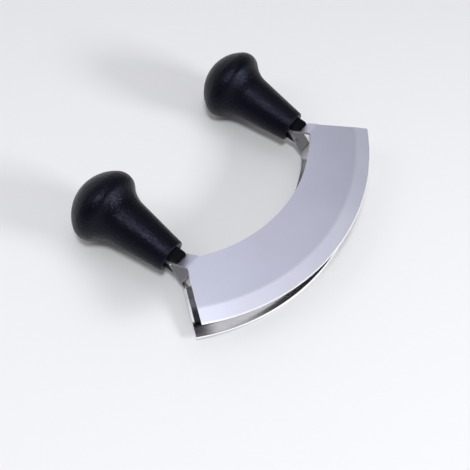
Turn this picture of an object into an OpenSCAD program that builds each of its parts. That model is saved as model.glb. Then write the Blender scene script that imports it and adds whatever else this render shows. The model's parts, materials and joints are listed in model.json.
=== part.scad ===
// Double-bladed mezzaluna, lying on its side as it is put down after use.
// X runs from one handle to the other, Z is up, and the surface it lies on is Z = 0.
// Each piece is first drawn with the blades level: X along the handles' line, Y from the
// cutting edge towards the knobs, and the centre of the edge's arc at the origin.

/* [Blades] */
// Radius of the cutting edge's arc
edge_radius = 141; // [134:0.5:148]
// Angle from the middle of a blade to its cut end, in degrees
blade_angle = 39; // [38:0.25:42]
// Width of a blade at its middle
blade_width = 39.5; // [36:0.5:43]
// How far the centre of the hollow back lies towards the handles
hollow_shift = 2; // [0:0.25:4]
// Thickness of the blade sheet
sheet = 1.5; // [1:0.1:2]
// Width of the ground band along the cutting edge
bevel_width = 9.5; // [6:0.5:14]
// Width of the honed line at the very edge
hone_width = 1; // [0.5:0.1:1.5]
// Thickness where the honing starts
hone_thickness = 0.8; // [0.6:0.05:1]
// Thickness left at the cutting edge
edge_thickness = 0.3; // [0.2:0.05:0.5]
// Clear gap between the two blades
blade_gap = 18.5; // [14:0.5:24]

/* [Tangs] */
// Width of the shoulders that carry the tangs
shoulder_width = 10.2; // [9:0.1:14]
// Distance from the bend in the shoulders to the grips' ends
tang_rise = 13; // [12:0.25:16]
// Bend radius in the middle of the sheet
bend_radius = 2.5; // [1.5:0.25:3.5]
// How far outside the handle the two tangs meet
meet_distance = 1.5; // [1.5:0.25:3]
// Width of a tang at the handle
tang_width = 8.4; // [6:0.2:10]
// How far a tang reaches into the handle
tang_depth = 30; // [24:1:34]

/* [Grips] */
// Length of a grip
grip_length = 65.5; // [62:0.5:72]
// Diameter of the grip at its neck
neck_diameter = 19.8; // [19:0.2:24]
// Flare of the neck, in degrees from the axis
neck_flare = 8; // [6:0.5:9]
// Radius of the hollow between the neck and the head
waist_radius = 18; // [12:1:22]
// Diameter of the head
head_diameter = 45.6; // [42:0.2:50]
// Distance from the neck's end to the widest ring of the head
head_place = 49; // [47:0.5:51]
// Radius of the head's rounded rim
rim_radius = 8.5; // [6:0.5:9]
// Chamfer round the neck's end
neck_chamfer = 0.5; // [0.2:0.1:1]

/* [Cores] */
// Diameter of the hard core inside a grip
core_diameter = 15.4; // [13:0.2:16]
// Solid end of the core behind the tangs
core_stop = 6; // [3:1:8]
// How far the core's noses stand out of the grip
nose_length = 6.8; // [4:0.2:8]
// Width of a nose
nose_width = 8.4; // [6:0.2:10]
// Height of a nose above the middle of the handle
nose_height = 6.4; // [6.1:0.1:7.4]
// Corner radius at the end of a nose
nose_corner = 1.8; // [0.5:0.1:2.5]

/* [Pins] */
// Diameter of the pins through the tangs
pin_diameter = 3; // [2:0.25:4]
// Number of pins in each handle
pin_count = 2; // [1:1:2]
// Distance from the grip's end to the first pin
pin_first = 9; // [7:0.5:11]
// Distance between the pins
pin_pitch = 13; // [10:0.5:14]
// How far each pin's ends lie below the core's surface
pin_recess = 0.5; // [0.3:0.1:2]
// Gap round a pin in its hole
pin_fit = 0.05; // [0.02:0.01:0.2]

/* [Hidden] */
$fn = 180;
steel = "lightsteelblue";
bright_steel = "silver";
black_plastic = "#1b1c20";
hard_black = "#0e0e10";
// Extra length that a cutter runs past what it cuts
over = 2;
// Largest turn between two points of an arc in an outline
arc_step = 5;
// A length beyond every piece, for cutters and for the sheet before it is cut out
reach = 1.5 * edge_radius;

// The middle of the flat sheet, and the slope and the bends of its shoulders
sheet_mid = (blade_gap + sheet) / 2;
slope = atan((sheet_mid - sheet / 2) / (tang_rise - meet_distance));
bend_reach = bend_radius * tan(slope / 2);

// The flat ends where the hollow back has come within a shoulder's width of the cut end
hollow_radius = edge_radius - blade_width + hollow_shift;
end_grade = tan(blade_angle);
end_square = 1 + pow(end_grade, 2);
flat_lean = end_grade * shoulder_width - hollow_shift;
flat_squares = pow(hollow_radius, 2) - pow(hollow_shift, 2) - pow(shoulder_width, 2);
flat_end = (flat_lean + sqrt(pow(flat_lean, 2) + end_square * flat_squares)) / end_square;

// From there the shoulders rise to the handles, which stand on the middle of a shoulder
shoulder_out = flat_end * end_grade;
shoulder_in = shoulder_out - shoulder_width;
handle_place = (shoulder_in + shoulder_out) / 2;
bend_line = flat_end - bend_reach;
grip_start = bend_line - tang_rise;
meet_line = grip_start + meet_distance;
tang_tip = tang_depth - grip_start;
core_length = tang_depth + core_stop;
nose_end = -grip_start - nose_length;
pin_length = core_diameter - 2 * pin_recess;
pin_places = [for (i = [0 : pin_count - 1]) pin_first + i * pin_pitch - grip_start];

// Grip outline, as distance along the axis and radius: neck line, waist arc, rim arc and dome arc
neck_radius = neck_diameter / 2;
rim_ring = head_diameter / 2 - rim_radius;
waist_span = waist_radius + rim_radius;
waist_ahead = head_place + waist_radius * sin(neck_flare);
waist_above = neck_radius + waist_radius * cos(neck_flare) - rim_ring;
flare_grade = tan(neck_flare);
waist_base = waist_ahead - flare_grade * waist_above;
waist_square = (1 + pow(flare_grade, 2)) * (pow(waist_ahead, 2) + pow(waist_above, 2) - pow(waist_span, 2));
neck_end = (waist_base - sqrt(pow(waist_base, 2) - waist_square)) / (1 + pow(flare_grade, 2));
waist_centre = [
    neck_end - waist_radius * sin(neck_flare),
    neck_radius + neck_end * flare_grade + waist_radius * cos(neck_flare)
];
waist_angle = atan2(rim_ring - waist_centre.y, head_place - waist_centre.x);
head_height = grip_length - head_place;
dome_squares = pow(head_height, 2) + pow(rim_ring, 2) - pow(rim_radius, 2);
dome_radius = dome_squares / (2 * (head_height - rim_radius));
dome_centre = grip_length - dome_radius;
dome_angle = atan2(rim_ring, head_place - dome_centre);

// The tilt at which the heads and the lower blade's honed line touch the surface together
hone_start = edge_radius - hone_width;
hone_reach = sheet_mid + hone_thickness / 2;
edge_reach = sheet_mid + edge_thickness / 2;
touch_length = hone_start - grip_start + head_place;
touch_drop = hone_reach - rim_ring;
tilt = asin(rim_radius / norm([touch_length, touch_drop])) - atan2(touch_drop, touch_length);
lift = hone_start * sin(tilt) + hone_reach * cos(tilt);
front = -edge_radius * cos(tilt) - edge_reach * sin(tilt);
back = (dome_centre - grip_start) * cos(tilt) + dome_radius;

function reverse(points) = [for (i = [len(points) - 1 : -1 : 0]) points[i]];

// A right-hand outline followed by its mirror image on the left
function both_sides(points) = concat(points, reverse([for (p = points) [-p.x, p.y]]));

function arc_points(centre, radius, from, to) =
    let (steps = ceil(abs(to - from) / arc_step))
    [for (i = [0 : steps]) let (a = from + (to - from) * i / steps) centre + radius * [cos(a), sin(a)]];

// One side of the bent sheet seen from its end, off the middle of the sheet by the given amount
function sheet_side(off) = concat(
    [[-reach, sheet_mid + off]],
    arc_points([-flat_end, sheet_mid - bend_radius], bend_radius + off, 90, 90 - slope),
    arc_points([bend_reach - meet_line, sheet / 2 + bend_radius], bend_radius - off, -90 - slope, -90),
    [[tang_tip, sheet / 2 + off]]
);

// The sheet's own section, and the section of both tangs with the wedge of air between them
function sheet_section() = concat(sheet_side(sheet / 2), reverse(sheet_side(-sheet / 2)));
function wedge_section() =
    let (top = sheet_side(sheet / 2))
    concat(top, reverse([for (p = top) [p.x, -p.y]]));

// Half outline of a grip, with its blind bore, ready to be turned about its axis
function grip_outline() =
    let (
        waist = arc_points(waist_centre, waist_radius, neck_flare - 90, waist_angle),
        rim = arc_points([head_place, rim_ring], rim_radius, waist_angle + 180, dome_angle),
        dome = arc_points([dome_centre, 0], dome_radius, dome_angle, 0),
        neck = [[0, neck_radius - neck_chamfer], [neck_chamfer, neck_radius + neck_chamfer * flare_grade]],
        head = concat([for (i = [1 : len(rim) - 1]) rim[i]], [for (i = [1 : len(dome) - 2]) dome[i]])
    )
    concat(
        [[core_diameter / 2, 0]],
        [for (p = concat(neck, waist, head)) [p.y, p.x]],
        [[0, grip_length], [0, core_length], [core_diameter / 2, core_length]]
    );

// Lays the level drawing down on the surface, in the middle of its own box
module lie_down() {
    translate([0, -(front + back) / 2, lift])
        rotate([tilt, 0, 0])
            children();
}

// Draws a section of Y and Z across the part, over the given width in X
module across(width) {
    rotate([90, 0, 90])
        linear_extrude(width, center = true)
            children();
}

// Puts a handle's piece, drawn at X = 0, on the left or the right
module at_handle(side) {
    translate([side * handle_place, 0, 0])
        children();
}

// Outline of a blade before it is bent: crescent, shoulders and tangs in one piece
module blade_plan() {
    tang_in = handle_place - tang_width / 2;
    tang_out = handle_place + tang_width / 2;
    outside = [
        [tang_out, tang_tip], [tang_out, -meet_line],
        [shoulder_out, -flat_end], [reach * tan(blade_angle), -reach]
    ];
    inside = [
        [tang_in, tang_tip + over], [tang_in, -meet_line],
        [shoulder_in, -flat_end], [0, -flat_end - over]
    ];
    difference() {
        intersection() {
            circle(edge_radius);
            polygon(both_sides(outside));
        }
        polygon(both_sides(inside));
        intersection() {
            translate([0, hollow_shift])
                circle(hollow_radius);
            translate([-reach, -reach - flat_end])
                square([2 * reach, reach]);
        }
    }
}

// Ring that grinds one face of the blade down to the honed line, and that line to the edge
module bevel_ring() {
    hone_grade = (hone_thickness - edge_thickness) / 2 / hone_width;
    rotate_extrude()
        polygon([
            [edge_radius - bevel_width, sheet / 2],
            [hone_start, hone_thickness / 2],
            [edge_radius + over, edge_thickness / 2 - hone_grade * over],
            [edge_radius + over, sheet / 2 + over],
            [edge_radius - bevel_width, sheet / 2 + over]
        ]);
}

// Holes for the pins in both of a blade's tangs
module pin_holes(height) {
    for (side = [-1, 1], place = pin_places)
        translate([side * handle_place, place, 0])
            cylinder(d = pin_diameter + 2 * pin_fit, h = height, center = true);
}

// A blade with its tangs: one sheet bent in two lines, cut to the plan, drilled and ground
module blade() {
    difference() {
        intersection() {
            linear_extrude(reach, center = true)
                blade_plan();
            across(2 * reach)
                polygon(sheet_section());
        }
        pin_holes(blade_gap);
        translate([0, 0, sheet_mid]) {
            bevel_ring();
            mirror([0, 0, 1])
                bevel_ring();
        }
    }
}

// Blade that lies on top
module blade_upper() {
    color(steel)
        lie_down()
            blade();
}

// Blade that lies underneath, the mirror image of the other
module blade_lower() {
    color(steel)
        lie_down()
            mirror([0, 0, 1])
                blade();
}

// Soft black grip, a body of revolution with a blind bore for its core
module grip(side) {
    color(black_plastic)
        lie_down()
            at_handle(side)
                translate([0, -grip_start, 0])
                    rotate([-90, 0, 0])
                        rotate_extrude()
                            polygon(grip_outline());
}

module grip_left() { grip(-1); }
module grip_right() { grip(1); }

// Noses that stand out of the grip's end and lie on the outer sides of both tangs.
// Their roots run on into the round core, as high as it allows.
module noses() {
    half = nose_width / 2;
    corner = nose_end + nose_corner;
    root_height = min(nose_height, sqrt(pow(core_diameter / 2, 2) - pow(half, 2)));
    difference() {
        union() {
            linear_extrude(2 * nose_height, center = true)
                polygon(concat(
                    [[half, -grip_start], [-half, -grip_start]],
                    arc_points([nose_corner - half, corner], nose_corner, 180, 270),
                    arc_points([half - nose_corner, corner], nose_corner, 270, 360)
                ));
            translate([0, -grip_start, 0])
                cube([nose_width, 2 * over, 2 * root_height], center = true);
        }
        across(nose_width + 2 * over)
            polygon(wedge_section());
    }
}

// Hard core that holds the tangs in its slot and fills the grip's bore
module core(side) {
    color(hard_black)
        lie_down()
            difference() {
                at_handle(side) {
                    noses();
                    difference() {
                        translate([0, -grip_start, 0])
                            rotate([-90, 0, 0])
                                cylinder(d = core_diameter, h = core_length);
                        across(tang_width)
                            polygon(wedge_section());
                    }
                }
                pin_holes(core_diameter + over);
            }
}

module core_left() { core(-1); }
module core_right() { core(1); }

// Steel pins that pass through the core and both tangs in each handle
module tang_pins() {
    color(bright_steel)
        lie_down()
            for (side = [-1, 1], place = pin_places)
                translate([side * handle_place, place, 0])
                    cylinder(d = pin_diameter, h = pin_length, center = true);
}

blade_upper();
blade_lower();
grip_left();
grip_right();
core_left();
core_right();
tang_pins();
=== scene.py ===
# Double-bladed mezzaluna on a pale floor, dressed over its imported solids.
# Metres: X runs from the left handle to the right one, Y towards the knobs, Z up.
import json
from math import atan2, radians

import bpy
from mathutils import Matrix, Vector

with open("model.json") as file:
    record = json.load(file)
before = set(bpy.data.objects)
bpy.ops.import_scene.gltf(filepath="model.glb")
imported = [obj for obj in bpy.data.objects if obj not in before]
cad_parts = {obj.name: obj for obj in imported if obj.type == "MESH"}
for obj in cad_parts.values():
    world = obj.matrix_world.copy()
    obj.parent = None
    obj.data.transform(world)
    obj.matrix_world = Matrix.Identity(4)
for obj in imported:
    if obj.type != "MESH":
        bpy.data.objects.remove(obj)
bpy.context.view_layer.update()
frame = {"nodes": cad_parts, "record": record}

# Upper blade: stainless sheet, cut to a crescent with a tang at each shoulder and bent in two lines.
# Its outer face is brushed satin and its inner face smooth. A wide band along the edge is ground
# on both faces, then honed to a narrow line at the very edge, painted pale as a highlight. It lies on top.
MOUNT_FROM_CENTRE = 0.118
OUTER_FACE_HEIGHT = 0.01075
EDGE_RADIUS = 0.141
BLADE_ANGLE = radians(39)
BAND_RADIUS = 0.1315
BAND_BLEND = 0.0013
HONED_WIDTH = 0.0008
HONED_BLEND = 0.00004
SHOULDER_DEPTH = 0.084
SHOULDER_BLEND = 0.0045
END_HIGHLIGHT_WIDTH = 0.0012

blade_face = next(m for m in frame["record"]["mounts"] if m["name"] == "blade_face")
face_normal = Vector(blade_face["axis"])
tilt = atan2(-face_normal.y, face_normal.z)
level_to_lying = Matrix.Rotation(tilt, 3, "X")
from_centre = Vector((0, MOUNT_FROM_CENTRE, -OUTER_FACE_HEIGHT))
arc_centre = Vector(blade_face["pos_m"]) + level_to_lying @ from_centre


def put(tree, kind, settings=(), **sockets):
    """A shader node with its settings and the values or links of its input sockets."""
    node = tree.nodes.new(kind)
    for name, value in settings:
        setattr(node, name, value)
    for name, value in sockets.items():
        numbered = name[0] == "i" and name[1:].isdigit()
        key = int(name[1:]) if numbered else name.replace("_", " ")
        if isinstance(value, bpy.types.NodeSocket):
            tree.links.new(value, node.inputs[key])
        else:
            node.inputs[key].default_value = value
    return node


def sum_of(tree, how, a, b=0.0, c=0.0):
    """The output of a Math node."""
    math = put(tree, "ShaderNodeMath", [("operation", how)], i0=a, i1=b, i2=c)
    return math.outputs[0]


def vector_of(tree, how, a, b=None):
    """The output of a Vector Math node."""
    node = put(tree, "ShaderNodeVectorMath", [("operation", how)], i0=a)
    if isinstance(b, bpy.types.NodeSocket):
        tree.links.new(b, node.inputs[1])
    elif b is not None:
        node.inputs[1].default_value = b
    return node.outputs[0]


def scaled_by(tree, vector, factor):
    """A vector or colour times a number."""
    node = put(tree, "ShaderNodeVectorMath", [("operation", "SCALE")], i0=vector, Scale=factor)
    return node.outputs[0]


def turned_about_x(tree, vector, angle):
    """A vector turned about the X axis."""
    node = put(tree, "ShaderNodeVectorRotate", [("rotation_type", "X_AXIS")], Vector=vector, Angle=angle)
    return node.outputs[0]


def step_at(tree, value, start, end):
    """A mask that climbs from 0 at start to 1 at end."""
    ramp = put(
        tree, "ShaderNodeMapRange", [("interpolation_type", "SMOOTHSTEP")], i0=value, i1=start, i2=end
    )
    return ramp.outputs[0]


def blend_value(tree, mask, low, high):
    """The value low where the mask is 0 and high where it is 1."""
    return put(tree, "ShaderNodeMix", i0=mask, i2=low, i3=high).outputs[0]


def blend_colour(tree, mask, low, high):
    """The colour low where the mask is 0 and high where it is 1."""
    low, high = (c if isinstance(c, bpy.types.NodeSocket) else (*c, 1) for c in (low, high))
    mix = put(tree, "ShaderNodeMix", [("data_type", "RGBA")], i0=mask, i6=low, i7=high)
    return mix.outputs[2]


def new_group(name, inputs, outputs):
    """An empty shader node group, with its named sockets, its input node and its output node."""
    tree = bpy.data.node_groups.new(name, "ShaderNodeTree")
    for socket, kind, start in inputs:
        made = tree.interface.new_socket(socket, in_out="INPUT", socket_type=kind)
        if start is not None:
            made.default_value = start
    for socket, kind in outputs:
        tree.interface.new_socket(socket, in_out="OUTPUT", socket_type=kind)
    return tree, tree.nodes.new("NodeGroupInput"), tree.nodes.new("NodeGroupOutput")


def place_group(tree, group, **sockets):
    """A group placed in a material, with its own values."""
    return put(tree, "ShaderNodeGroup", [("node_tree", group)], **sockets)


def new_material(name):
    """A material with its Principled BSDF, its output and the surface's own coordinates."""
    material = bpy.data.materials.new(name)
    material.use_nodes = True
    tree = material.node_tree
    tree.nodes.clear()
    shader = tree.nodes.new("ShaderNodeBsdfPrincipled")
    output = tree.nodes.new("ShaderNodeOutputMaterial")
    tree.links.new(shader.outputs[0], output.inputs[0])
    place = tree.nodes.new("ShaderNodeTexCoord").outputs["Object"]
    return material, tree, shader, place


def dress(node, material):
    """Gives a CAD node its material."""
    cad = frame["nodes"][node]
    cad.data.materials.clear()
    cad.data.materials.append(material)


FLOAT = "NodeSocketFloat"
VECTOR = "NodeSocketVector"

# Where a point of the sheet lies in the level blade: its radius and angle round the arc's centre,
# and its height above the plane between the blades
blade_place, ends, out = new_group(
    "place on the blade",
    [("Place", VECTOR, None)],
    [("Level", VECTOR), ("Radius", FLOAT), ("Angle", FLOAT), ("Height", FLOAT)],
)
moved = vector_of(blade_place, "SUBTRACT", ends.outputs[0], arc_centre)
levelled = turned_about_x(blade_place, moved, -tilt)
split = put(blade_place, "ShaderNodeSeparateXYZ", Vector=levelled)
flat = put(blade_place, "ShaderNodeCombineXYZ", X=split.outputs[0], Y=split.outputs[1])
length = put(blade_place, "ShaderNodeVectorMath", [("operation", "LENGTH")], i0=flat.outputs[0])
towards_edge = sum_of(blade_place, "MULTIPLY", split.outputs[1], -1.0)
turn = sum_of(blade_place, "ARCTAN2", split.outputs[0], towards_edge)
blade_place.links.new(levelled, out.inputs["Level"])
blade_place.links.new(length.outputs["Value"], out.inputs["Radius"])
blade_place.links.new(turn, out.inputs["Angle"])
blade_place.links.new(split.outputs[2], out.inputs["Height"])

# Fine parallel lines of brushing or grinding, with a few deeper ones among them
DEEP_LINE_SCALE = 0.23
DEEP_LINE_START = 0.55
DEEP_LINE_END = 0.80
DEEP_LINE_SHARE = 0.15
lines_group, ends, out = new_group(
    "ground lines",
    [("Place", VECTOR, None), ("Fineness", FLOAT, 1.0), ("Depth", FLOAT, 1.0)],
    [("Height", FLOAT), ("Tone", FLOAT)],
)
scaled = scaled_by(lines_group, ends.outputs[0], ends.outputs["Fineness"])
fine = put(lines_group, "ShaderNodeTexNoise", Vector=scaled, Scale=1.0, Detail=6.0, Roughness=0.75)
deep = put(
    lines_group, "ShaderNodeTexNoise", Vector=scaled, Scale=DEEP_LINE_SCALE, Detail=3.0, Roughness=0.6
)
deep_lines = step_at(lines_group, deep.outputs[0], DEEP_LINE_START, DEEP_LINE_END)
both = sum_of(lines_group, "MULTIPLY_ADD", deep_lines, DEEP_LINE_SHARE, fine.outputs[0])
lines_group.links.new(sum_of(lines_group, "MULTIPLY", both, ends.outputs["Depth"]), out.inputs["Height"])
lines_group.links.new(both, out.inputs["Tone"])

# Blotches left by handling and washing, soft and large
NOISE_MIDDLE = 0.5
blotch_group, ends, out = new_group(
    "soft blotches",
    [("Place", VECTOR, None), ("Size", FLOAT, 0.03), ("Amount", FLOAT, 0.1)],
    [("Change", FLOAT)],
)
pitch = sum_of(blotch_group, "DIVIDE", 1.0, ends.outputs["Size"])
cloud = put(
    blotch_group, "ShaderNodeTexNoise", Vector=ends.outputs[0], Scale=pitch, Detail=2.0, Roughness=0.5
)
level = sum_of(blotch_group, "SUBTRACT", cloud.outputs[0], NOISE_MIDDLE)
blotch_group.links.new(sum_of(blotch_group, "MULTIPLY", level, ends.outputs["Amount"]), out.inputs["Change"])

steel, tree, shader, place = new_material("satin and ground steel")
on_blade = place_group(tree, blade_place, Place=place)
level_place, radius, angle, height = on_blade.outputs
level_split = put(tree, "ShaderNodeSeparateXYZ", Vector=level_place)

# Which face of the sheet it is: outer, inner or a cut side
SIDE_STEEPNESS = 0.5
normal = tree.nodes.new("ShaderNodeNewGeometry").outputs["True Normal"]
facing = put(tree, "ShaderNodeSeparateXYZ", Vector=turned_about_x(tree, normal, -tilt)).outputs[2]
cut_side = sum_of(tree, "LESS_THAN", sum_of(tree, "ABSOLUTE", facing), SIDE_STEEPNESS)
inner = sum_of(tree, "LESS_THAN", sum_of(tree, "MULTIPLY", facing, height), 0.0)

# Which part of the sheet it is: the ground band, the honed line, a tang or the painted highlight at the cut
# end
honed_radius = EDGE_RADIUS - HONED_WIDTH
band = step_at(tree, radius, BAND_RADIUS - BAND_BLEND, BAND_RADIUS + BAND_BLEND)
honed = step_at(tree, radius, honed_radius - HONED_BLEND, honed_radius + HONED_BLEND)
on_tang = step_at(tree, level_split.outputs[1], -SHOULDER_DEPTH - SHOULDER_BLEND, -SHOULDER_DEPTH)
off_tang = sum_of(tree, "SUBTRACT", 1.0, on_tang)
from_end = sum_of(tree, "SUBTRACT", BLADE_ANGLE, sum_of(tree, "ABSOLUTE", angle))
end_distance = sum_of(tree, "MULTIPLY", sum_of(tree, "SINE", from_end), radius)
# A pale strip on the inner face along each cut end is a painted highlight
near_end = sum_of(tree, "MULTIPLY", sum_of(tree, "LESS_THAN", end_distance, END_HIGHLIGHT_WIDTH), inner)
on_flat = sum_of(tree, "MULTIPLY", sum_of(tree, "SUBTRACT", 1.0, band), off_tang)
painted_end_highlight = sum_of(tree, "MULTIPLY", near_end, on_flat)
# Cut sides, honed line and end strip are painted pale: lighter cut steel with a painted highlight on it
pale = sum_of(tree, "MAXIMUM", sum_of(tree, "MAXIMUM", cut_side, honed), painted_end_highlight)

# Brushing runs along the blade, and the band is ground across it
BRUSHED_ALONG = 55.0
BRUSHED_ACROSS = 3200.0
GROUND_ROUND = 600.0
GROUND_OUTWARDS = 45.0
GROUND_THROUGH = 200.0
brushed_lines = (BRUSHED_ALONG, BRUSHED_ACROSS, BRUSHED_ACROSS)
brushed = vector_of(tree, "MULTIPLY", level_place, brushed_lines)
ground = put(
    tree,
    "ShaderNodeCombineXYZ",
    X=sum_of(tree, "MULTIPLY", angle, GROUND_ROUND),
    Y=sum_of(tree, "MULTIPLY", radius, GROUND_OUTWARDS),
    Z=sum_of(tree, "MULTIPLY", height, GROUND_THROUGH),
)
grain = put(tree, "ShaderNodeMix", [("data_type", "VECTOR")], i0=band, i4=brushed, i5=ground.outputs[0])
lines = place_group(tree, lines_group, Place=grain.outputs[1], Fineness=1.0, Depth=1.0)
blotches = place_group(tree, blotch_group, Place=level_place, Size=0.035, Amount=0.16)

# Colours: cut sides and honing are lighter steel, made pale as a painted highlight; the tangs carry
# painted shade, and the inner band carries a painted dark reflection towards the blade's ends
SATIN_STEEL = (0.66, 0.67, 0.79)
GROUND_STEEL = (0.86, 0.875, 1.0)
INNER_STEEL = (0.50, 0.50, 0.53)
INNER_BAND_STEEL = (0.82, 0.81, 0.83)
DARK_REFLECTION_STEEL = (0.22, 0.205, 0.22)
DARK_REFLECTION_START = radians(32.5)
DARK_REFLECTION_END = radians(37.5)
CUT_STEEL_AND_GLINT = (0.95, 0.95, 0.97)
SHADED_TANG_SIDE_STEEL = (0.30, 0.29, 0.30)
SHADED_TANG_STEEL = (0.32, 0.31, 0.315)
DARKEST_TONE = 0.93
LINE_TONE = 0.10
# Painted dark reflection: the inner band darkens towards the blade's ends
dark_reflection = step_at(tree, sum_of(tree, "ABSOLUTE", angle), DARK_REFLECTION_START, DARK_REFLECTION_END)
face_colour = blend_colour(tree, band, SATIN_STEEL, GROUND_STEEL)
# Painted shade: the tangs are darker steel, on their inner face and on their cut sides
inner_flat_colour = blend_colour(tree, on_tang, INNER_STEEL, SHADED_TANG_STEEL)
inner_band_colour = blend_colour(tree, dark_reflection, INNER_BAND_STEEL, DARK_REFLECTION_STEEL)
inner_colour = blend_colour(tree, band, inner_flat_colour, inner_band_colour)
sheet_colour = blend_colour(tree, inner, face_colour, inner_colour)
side_colour = blend_colour(tree, on_tang, CUT_STEEL_AND_GLINT, SHADED_TANG_SIDE_STEEL)
colour = blend_colour(tree, pale, sheet_colour, side_colour)
tone = sum_of(tree, "MULTIPLY_ADD", lines.outputs["Tone"], LINE_TONE, DARKEST_TONE)
toned = scaled_by(tree, colour, sum_of(tree, "ADD", tone, blotches.outputs[0]))
tree.links.new(toned, shader.inputs["Base Color"])

# Gloss: the inner face is nearly a mirror, and the pale lines are rough and partly non-metallic, which keeps
# their painted highlight bright
SATIN_ROUGHNESS = 0.31
LINE_ROUGHNESS = 0.14
INNER_ROUGHNESS = 0.07
INNER_BAND_ROUGHNESS = 0.14
CUT_ROUGHNESS = 0.42
CUT_METALLIC = 0.35
BLOTCH_ROUGHNESS = 0.3
rough_face = sum_of(tree, "MULTIPLY_ADD", lines.outputs["Tone"], LINE_ROUGHNESS, SATIN_ROUGHNESS)
rough_inner = blend_value(tree, band, INNER_ROUGHNESS, INNER_BAND_ROUGHNESS)
rough_sheet = blend_value(tree, inner, rough_face, rough_inner)
rough = blend_value(tree, pale, rough_sheet, CUT_ROUGHNESS)
change = sum_of(tree, "MULTIPLY", blotches.outputs[0], BLOTCH_ROUGHNESS)
tree.links.new(sum_of(tree, "ADD", rough, change), shader.inputs["Roughness"])
pale_cut = sum_of(tree, "MULTIPLY", pale, off_tang)
metal = sum_of(tree, "MULTIPLY_ADD", pale_cut, CUT_METALLIC - 1.0, 1.0)
tree.links.new(metal, shader.inputs["Metallic"])

# The inner band is ground hollow, so it leans outwards more and more towards the edge
INNER_BAND_LEAN = 0.17
LEAN_RADIUS = 0.136
level_out = put(tree, "ShaderNodeCombineXYZ", X=level_split.outputs[0], Y=level_split.outputs[1])
outwards = turned_about_x(tree, vector_of(tree, "NORMALIZE", level_out.outputs[0]), tilt)
lean = sum_of(tree, "MULTIPLY", step_at(tree, radius, BAND_RADIUS, LEAN_RADIUS), inner)
push = scaled_by(tree, outwards, sum_of(tree, "MULTIPLY", lean, INNER_BAND_LEAN))
leant = vector_of(tree, "NORMALIZE", vector_of(tree, "ADD", normal, push))
bump = put(
    tree,
    "ShaderNodeBump",
    Strength=0.25,
    Distance=0.00002,
    Height=lines.outputs["Height"],
    Normal=leant,
)
tree.links.new(bump.outputs[0], shader.inputs["Normal"])
dress("blade_upper", steel)

# Lower blade: the same sheet turned over, so the smooth inner faces of the two look at each other.
# It shows past the upper one at the near end and the cutting edge, its painted highlights bright against the
# dark gap.
dress("blade_lower", steel)

# Cores: hard black moulding that clamps both tangs and fills the grips' bores.
# Only its two noses show, with rounded corners, lying on the tangs' outer sides.
CORE_BLACK = (0.003, 0.003, 0.0045)
CORE_SPECK = (0.006, 0.006, 0.008)
CORE_SPECK_SCALE = 900.0
CORE_ROUGHNESS = 0.28
hard_plastic, tree, shader, place = new_material("hard black moulding")
flow = place_group(tree, blotch_group, Place=place, Size=0.004, Amount=0.25)
tree.links.new(sum_of(tree, "ADD", flow.outputs[0], CORE_ROUGHNESS), shader.inputs["Roughness"])
speck = put(tree, "ShaderNodeTexNoise", Vector=place, Scale=CORE_SPECK_SCALE, Detail=2.0)
speckled = blend_colour(tree, speck.outputs[0], CORE_BLACK, CORE_SPECK)
tree.links.new(speckled, shader.inputs["Base Color"])
bump = put(tree, "ShaderNodeBump", Strength=0.2, Distance=0.00003, Height=speck.outputs[0])
tree.links.new(bump.outputs[0], shader.inputs["Normal"])
shader.inputs["Specular IOR Level"].default_value = 0.04
for side in ("left", "right"):
    dress(f"core_{side}", hard_plastic)

# Pins: turned steel rod, pressed through the core and both tangs in each handle.
# The grips hide them.
PIN_DARK = (0.50, 0.50, 0.52)
PIN_LIGHT = (0.72, 0.72, 0.74)
PIN_ROUGHNESS = 0.2
TURNED_FINENESS = 2500.0
pin_steel, tree, shader, place = new_material("turned pin steel")
rings = place_group(tree, lines_group, Place=place, Fineness=TURNED_FINENESS, Depth=1.0)
pin_colour = blend_colour(tree, rings.outputs["Tone"], PIN_DARK, PIN_LIGHT)
tree.links.new(pin_colour, shader.inputs["Base Color"])
pin_rough = sum_of(tree, "MULTIPLY_ADD", rings.outputs["Tone"], PIN_ROUGHNESS, PIN_ROUGHNESS)
tree.links.new(pin_rough, shader.inputs["Roughness"])
bump = put(tree, "ShaderNodeBump", Strength=0.2, Distance=0.00002, Height=rings.outputs["Height"])
tree.links.new(bump.outputs[0], shader.inputs["Normal"])
shader.inputs["Metallic"].default_value = 1.0
dress("tang_pins", pin_steel)

# Grips: black plastic moulded round the cores, flared from a narrow neck to a domed knob.
# The surface is satin with a fine leathery texture, a little shinier where palms rub it.
GRIP_BLACK = (0.0006, 0.0006, 0.0011)
GRIP_WORN = (0.0022, 0.0022, 0.0045)
GRIP_ROUGHNESS = 0.34
GRIP_TEXTURE_SCALE = 620.0
grip_plastic, tree, shader, place = new_material("textured black plastic")
palm = place_group(tree, blotch_group, Place=place, Size=0.014, Amount=0.30)
texture = put(
    tree, "ShaderNodeTexNoise", Vector=place, Scale=GRIP_TEXTURE_SCALE, Detail=3.0, Roughness=0.6
)
grip_colour = blend_colour(tree, texture.outputs[0], GRIP_BLACK, GRIP_WORN)
tree.links.new(grip_colour, shader.inputs["Base Color"])
tree.links.new(sum_of(tree, "ADD", palm.outputs[0], GRIP_ROUGHNESS), shader.inputs["Roughness"])
bump = put(tree, "ShaderNodeBump", Strength=0.8, Distance=0.0005, Height=texture.outputs[0])
tree.links.new(bump.outputs[0], shader.inputs["Normal"])
shader.inputs["Specular IOR Level"].default_value = 0.19
shader.inputs["Specular Tint"].default_value = (0.60, 0.66, 1.0, 1)
for side in ("left", "right"):
    dress(f"grip_{side}", grip_plastic)

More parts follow.
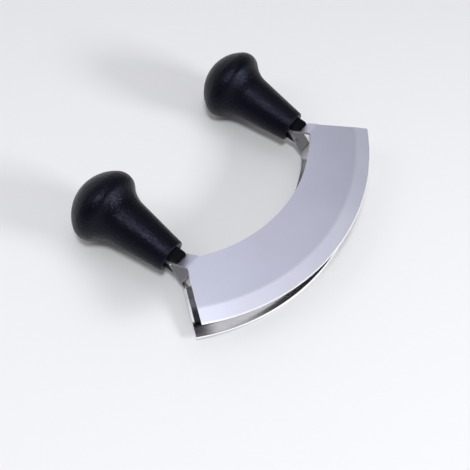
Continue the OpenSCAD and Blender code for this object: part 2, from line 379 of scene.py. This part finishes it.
# Floor: a plain pale sheet that runs far past the picture.
# It only carries the shadow.
FLOOR_HALF = 3.0
FLOOR_COLOUR = (0.86, 0.86, 0.86, 1)
corners = [(x * FLOOR_HALF, y * FLOOR_HALF, 0) for x, y in ((-1, -1), (1, -1), (1, 1), (-1, 1))]
floor_mesh = bpy.data.meshes.new("floor")
floor_mesh.from_pydata(corners, [], [(0, 1, 2, 3)])
floor = bpy.data.objects.new("floor", floor_mesh)
bpy.context.scene.collection.objects.link(floor)
pale_floor, tree, shader, place = new_material("pale floor")
shader.inputs["Base Color"].default_value = FLOOR_COLOUR
shader.inputs["Roughness"].default_value = 0.8
floor_mesh.materials.append(pale_floor)

# Sky: a pale surround, brightest at the horizon. A bright patch overhead lights the satin faces,
# a softer one low behind lights the sloping shoulders, and a small dark one is mirrored by the
# inner band of the lower blade.
SKY_HORIZON = (1.0, 1.0, 1.02, 1)
SKY_TOP = (0.45, 0.45, 0.47, 1)
SKY_STEPS = ((0.35, 0.70), (0.60, 0.35), (0.85, 0.35))
SKY_STEP_BLUE = 1.04
SKY_STRENGTH = 0.516
OVERHEAD_PATCH = ((0.28, 0.04, 0.96), 0.985, 0.86, 1.96)
SHOULDER_PATCH = ((0.47, 0.78, 0.40), 0.97, 0.72, 1.42)
DARK_PATCH = ((0.46, -0.42, 0.78), 0.988, 0.968, 0.02)
PATCH_BLUE = 1.05
world = bpy.data.worlds.new("pale studio")
bpy.context.scene.world = world
world.use_nodes = True
tree = world.node_tree
tree.nodes.clear()
where = tree.nodes.new("ShaderNodeTexCoord").outputs["Generated"]
sky = put(tree, "ShaderNodeSeparateXYZ", Vector=where)
ramp = put(tree, "ShaderNodeValToRGB", Fac=sky.outputs[2])
steps = ramp.color_ramp.elements
steps[0].position, steps[0].color = 0.0, SKY_HORIZON
steps[1].position, steps[1].color = 1.0, SKY_TOP
for position, level in SKY_STEPS:
    step = steps.new(position)
    step.color = (level, level, level * SKY_STEP_BLUE, 1)
colour = ramp.outputs[0]
for towards, inside, outside, level in (OVERHEAD_PATCH, SHOULDER_PATCH, DARK_PATCH):
    middle = Vector(towards).normalized()
    near = put(tree, "ShaderNodeVectorMath", [("operation", "DOT_PRODUCT")], i0=where, i1=middle)
    patch = step_at(tree, near.outputs["Value"], outside, inside)
    colour = blend_colour(tree, patch, colour, (level, level, level * PATCH_BLUE))
background = put(tree, "ShaderNodeBackground", Color=colour, Strength=SKY_STRENGTH)
sky_out = tree.nodes.new("ShaderNodeOutputWorld")
tree.links.new(background.outputs[0], sky_out.inputs[0])

# Lamps: a soft one behind the knobs, one overhead for the gleam along the necks, and a low one
# in front for the gleam on the heads. Each has its place, width, depth and watts.
LAMP_COLOUR = (0.97, 0.98, 1.0)
AIM = Vector((-0.0295, -0.0169, 0.020))
LAMPS = (
    ("window behind", (-0.50, 0.55, 0.75), 0.40, 0.40, 1.0),
    ("softbox overhead", (-0.34, -0.13, 0.95), 0.17, 0.17, 4.1),
    ("softbox in front", (0.36, -1.20, 0.56), 0.46, 0.23, 10.1),
)
for name, stand, width, depth, watts in LAMPS:
    light = bpy.data.lights.new(name, "AREA")
    light.shape = "RECTANGLE"
    light.size = width
    light.size_y = depth
    light.energy = watts
    light.color = LAMP_COLOUR
    lamp = bpy.data.objects.new(name, light)
    lamp.location = stand
    lamp.rotation_euler = (lamp.location - AIM).to_track_quat("Z", "Y").to_euler()
    bpy.context.scene.collection.objects.link(lamp)

# Camera: the photograph's own view, from above the left blade tip, held at a slant.
CAMERA_PLACE = (-0.2518, -0.1280, 0.3934)
LENS = 59.81
SENSOR = 36.0
SLANT = radians(10.74)
NEAREST = 0.01
camera_data = bpy.data.cameras.new("camera")
camera_data.lens = LENS
camera_data.sensor_width = SENSOR
camera_data.clip_start = NEAREST
camera = bpy.data.objects.new("camera", camera_data)
camera.location = CAMERA_PLACE
away = (camera.location - AIM).to_track_quat("Z", "Y").to_matrix()
camera.rotation_euler = (away @ Matrix.Rotation(SLANT, 3, "Z")).to_euler()
bpy.context.scene.collection.objects.link(camera)
bpy.context.scene.camera = camera
bpy.context.scene.view_settings.view_transform = "Standard"
